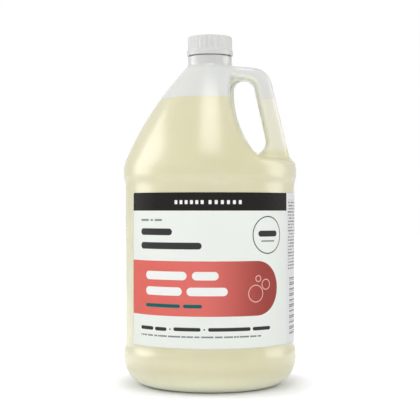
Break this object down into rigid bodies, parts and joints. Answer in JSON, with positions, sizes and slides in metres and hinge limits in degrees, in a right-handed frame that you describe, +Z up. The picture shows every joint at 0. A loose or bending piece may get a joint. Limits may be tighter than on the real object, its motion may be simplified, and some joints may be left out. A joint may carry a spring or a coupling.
{
  "type": "hand soap refill pack",
  "caption": "Round translucent blow-moulded jug with a hollow pass-through handle, filled with liquid hand soap, with a wrap label and a ribbed screw cap.",
  "frame": {"origin": "on the floor under the middle of the neck, at the centre of the base", "axes": "+Z up along the neck; +X towards the handle; -Y towards the front of the label"},
  "size_m": [0.1524, 0.1524, 0.3074],
  "materials": {
    "natural_hdpe": "milky translucent blown polyethylene, soft sheen",
    "soap": "clear pale yellow liquid soap",
    "label_film": "printed film, satin",
    "liner_foam": "white foamed liner",
    "cap_plastic": "white moulded polypropylene, satin"
  },
  "bodies": {
    "jug_body": {"jug": "natural_hdpe", "liquid_soap": "soap", "wrap_label": "label_film"},
    "liner": {"cap_liner": "liner_foam"},
    "cap": {"screw_cap": "cap_plastic"}
  },
  "joints": [
    {"name": "cap_lift", "type": "slide", "parent": "jug_body", "child": "liner", "axis": [0, 0, 1], "range_m": [0, 0.00529]},
    {"name": "cap_turn", "type": "hinge", "parent": "liner", "child": "cap", "pos_m": [0, 0, 0.299], "axis": [0, 0, 1], "range_deg": [0, 450]}
  ],
  "couplings": [
    {"joint": "cap_turn", "follows": "cap_lift", "rad_per_m": 1484.2}
  ]
}
